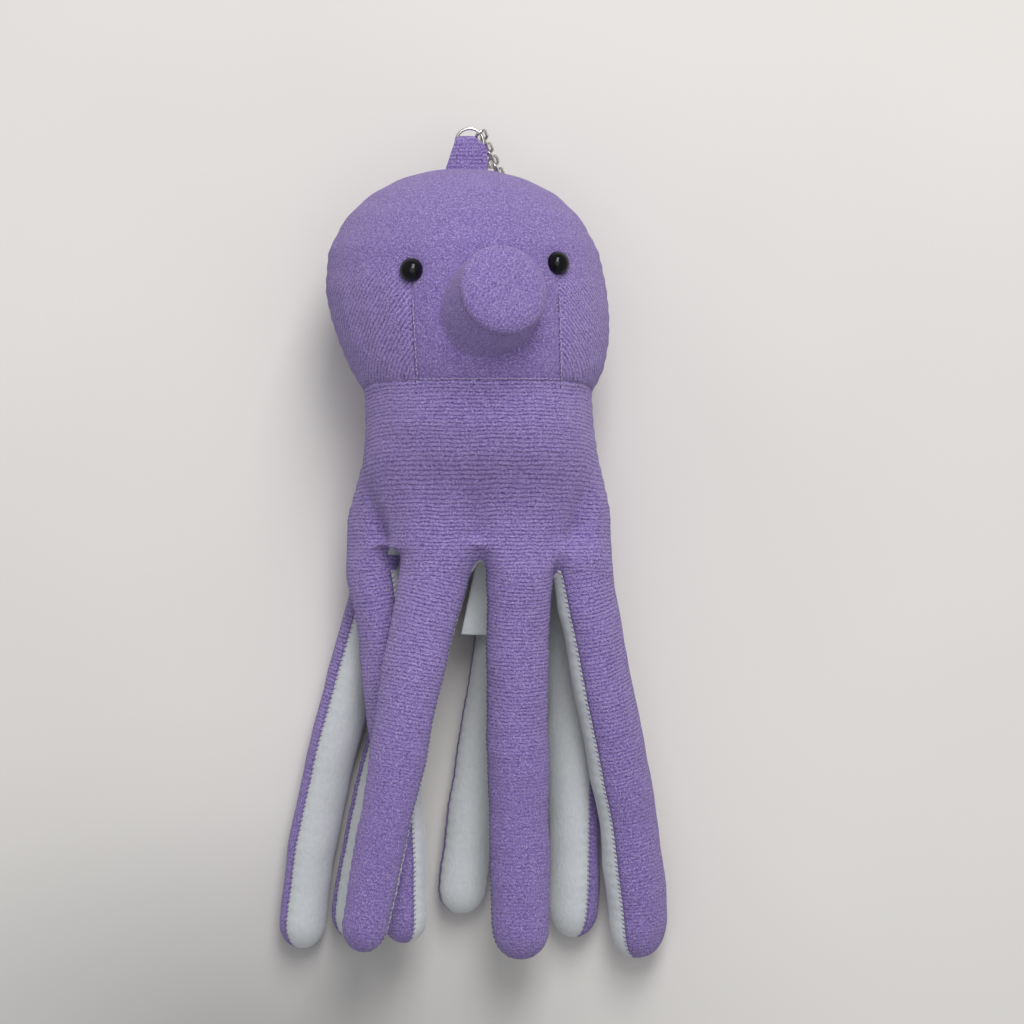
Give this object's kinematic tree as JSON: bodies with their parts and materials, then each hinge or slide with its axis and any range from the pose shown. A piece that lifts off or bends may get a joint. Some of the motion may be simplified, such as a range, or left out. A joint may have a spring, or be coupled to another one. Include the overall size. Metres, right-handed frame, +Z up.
{
  "type": "plush octopus key chain",
  "caption": "Stuffed plush octopus with a ball head, short stuffed nose, flared body and dangling two-tone arms, on a cloth loop, chain and split key ring.",
  "frame": {"origin": "on the floor under the middle of the toy's outline, the toy lying on its back", "axes": "+X across the toy to the right seen from above, +Y along it towards the hanging loop on the crown, +Z up, the way the face looks"},
  "size_m": [0.1037, 0.2189, 0.0817],
  "materials": {
    "knit": "brushed lilac-purple knit with a faint glitter thread, visible courses and a soft nap",
    "fleece": "short white fleece, matt, slightly cool",
    "stuffing": "loose white polyester fibre",
    "eye": "moulded black plastic, high gloss",
    "washer": "moulded white plastic, matt",
    "satin": "blank white woven satin ribbon, soft sheen",
    "steel": "bright nickel-plated steel wire"
  },
  "bodies": {
    "torso": {"torso_stuffing": "stuffing", "head_front_panel": "knit", "head_back_panel": "knit", "body_front_panel": "knit", "body_back_panel": "knit", "underside_panel": "fleece", "nose_side_panel": "knit", "nose_end_disc": "knit", "nose_stuffing": "stuffing", "eye_left": "eye", "eye_right": "eye", "eye_washer_left": "washer", "eye_washer_right": "washer"},
    "arm_far_left": {"arm_far_left_knit_face": "knit", "arm_far_left_fleece_face": "fleece", "arm_far_left_stuffing": "stuffing"},
    "arm_rear_left": {"arm_rear_left_knit_face": "knit", "arm_rear_left_fleece_face": "fleece", "arm_rear_left_stuffing": "stuffing"},
    "arm_left": {"arm_left_knit_face": "knit", "arm_left_fleece_face": "fleece", "arm_left_stuffing": "stuffing"},
    "arm_front_left": {"arm_front_left_knit_face": "knit", "arm_front_left_fleece_face": "fleece", "arm_front_left_stuffing": "stuffing"},
    "arm_rear_right": {"arm_rear_right_knit_face": "knit", "arm_rear_right_fleece_face": "fleece", "arm_rear_right_stuffing": "stuffing"},
    "arm_front_right": {"arm_front_right_knit_face": "knit", "arm_front_right_fleece_face": "fleece", "arm_front_right_stuffing": "stuffing"},
    "arm_far_right": {"arm_far_right_knit_face": "knit", "arm_far_right_fleece_face": "fleece", "arm_far_right_stuffing": "stuffing"},
    "arm_right": {"arm_right_knit_face": "knit", "arm_right_fleece_face": "fleece", "arm_right_stuffing": "stuffing"},
    "care_label_flap": {"care_label": "satin"},
    "loop": {"hanging_loop": "knit"},
    "ring": {"jump_ring": "steel"},
    "link_1": {"chain_link_1": "steel"},
    "link_2": {"chain_link_2": "steel"},
    "link_3": {"chain_link_3": "steel"},
    "link_4": {"chain_link_4": "steel"},
    "link_5": {"chain_link_5": "steel"},
    "link_6": {"chain_link_6": "steel"},
    "link_7": {"chain_link_7": "steel"},
    "link_8": {"chain_link_8": "steel"},
    "key_ring": {"split_ring": "steel"}
  },
  "joints": [
    {"name": "arm_far_left_root", "type": "hinge", "parent": "torso", "child": "arm_far_left", "pos_m": [-0.0246, -0.009, 0.0076], "axis": [0, 0, 1], "range_deg": [-45, 0], "stiffness_Nm_per_rad": 0.04},
    {"name": "arm_rear_left_root", "type": "hinge", "parent": "torso", "child": "arm_rear_left", "pos_m": [-0.0092, -0.009, 0.0076], "axis": [0, 0, 1], "range_deg": [0, 8], "stiffness_Nm_per_rad": 0.04},
    {"name": "arm_left_root", "type": "hinge", "parent": "torso", "child": "arm_left", "pos_m": [-0.0259, -0.009, 0.0232], "axis": [0, 0, 1], "range_deg": [-40, 6], "stiffness_Nm_per_rad": 0.04},
    {"name": "arm_front_left_root", "type": "hinge", "parent": "torso", "child": "arm_front_left", "pos_m": [-0.0102, -0.009, 0.0364], "axis": [-1, 0, 0], "range_deg": [0, 75], "stiffness_Nm_per_rad": 0.04},
    {"name": "arm_rear_right_root", "type": "hinge", "parent": "torso", "child": "arm_rear_right", "pos_m": [0.009, -0.009, 0.0076], "axis": [0, 0, 1], "range_deg": [-8, 8], "stiffness_Nm_per_rad": 0.04},
    {"name": "arm_front_right_root", "type": "hinge", "parent": "torso", "child": "arm_front_right", "pos_m": [0.0123, -0.009, 0.036], "axis": [-1, 0, 0], "range_deg": [0, 75], "stiffness_Nm_per_rad": 0.04},
    {"name": "arm_far_right_root", "type": "hinge", "parent": "torso", "child": "arm_far_right", "pos_m": [0.0265, -0.009, 0.0076], "axis": [0, 0, 1], "range_deg": [-8, 0], "stiffness_Nm_per_rad": 0.04},
    {"name": "arm_right_root", "type": "hinge", "parent": "torso", "child": "arm_right", "pos_m": [0.0292, -0.009, 0.029], "axis": [0, 0, 1], "range_deg": [0, 40], "stiffness_Nm_per_rad": 0.04},
    {"name": "care_label_fold", "type": "hinge", "parent": "torso", "child": "care_label_flap", "pos_m": [0.0083, -0.0022, 0.021], "axis": [-1, 0, 0], "range_deg": [0, 8]},
    {"name": "hanging_loop_fold", "type": "hinge", "parent": "torso", "child": "loop", "pos_m": [-0.0008, 0.1007, 0.033], "axis": [1, 0, 0], "range_deg": [0, 70]},
    {"name": "jump_ring_swing", "type": "hinge", "parent": "loop", "child": "ring", "pos_m": [-0.0006, 0.1025, 0.033], "axis": [1, 0, 0], "range_deg": [0, 18]},
    {"name": "chain_link_1_swing", "type": "hinge", "parent": "ring", "child": "link_1", "pos_m": [0.00223, 0.10806, 0.033], "axis": [-0.5652, 0.7561, -0.3298], "range_deg": [-6, 0]},
    {"name": "chain_link_2_swing", "type": "hinge", "parent": "link_1", "child": "link_2", "pos_m": [0.00293, 0.10683, 0.02899], "axis": [0.8084, 0.5873, -0.0389], "range_deg": [0, 20]},
    {"name": "chain_link_3_swing", "type": "hinge", "parent": "link_2", "child": "link_3", "pos_m": [0.00363, 0.1056, 0.02498], "axis": [-0.5652, 0.7561, -0.3298], "range_deg": [-6, 0]},
    {"name": "chain_link_4_swing", "type": "hinge", "parent": "link_3", "child": "link_4", "pos_m": [0.00433, 0.10437, 0.02097], "axis": [0.8084, 0.5873, -0.0389], "range_deg": [0, 20]},
    {"name": "chain_link_5_swing", "type": "hinge", "parent": "link_4", "child": "link_5", "pos_m": [0.00503, 0.10315, 0.01696], "axis": [-0.5652, 0.7561, -0.3298], "range_deg": [-6, 0]},
    {"name": "chain_link_6_swing", "type": "hinge", "parent": "link_5", "child": "link_6", "pos_m": [0.00573, 0.10192, 0.01294], "axis": [0.8084, 0.5873, -0.0389], "range_deg": [0, 20]},
    {"name": "chain_link_7_swing", "type": "hinge", "parent": "link_6", "child": "link_7", "pos_m": [0.00642, 0.10069, 0.00893], "axis": [-0.5652, 0.7561, -0.3298], "range_deg": [-6, 0]},
    {"name": "chain_link_8_swing", "type": "hinge", "parent": "link_7", "child": "link_8", "pos_m": [0.00712, 0.09946, 0.00492], "axis": [0.8084, 0.5873, -0.0389], "range_deg": [0, 20]},
    {"name": "split_ring_swing", "type": "hinge", "parent": "link_8", "child": "key_ring", "pos_m": [0.0075, 0.0988, 0.00275], "axis": [1, 0, 0], "range_deg": [0, 40]}
  ]
}
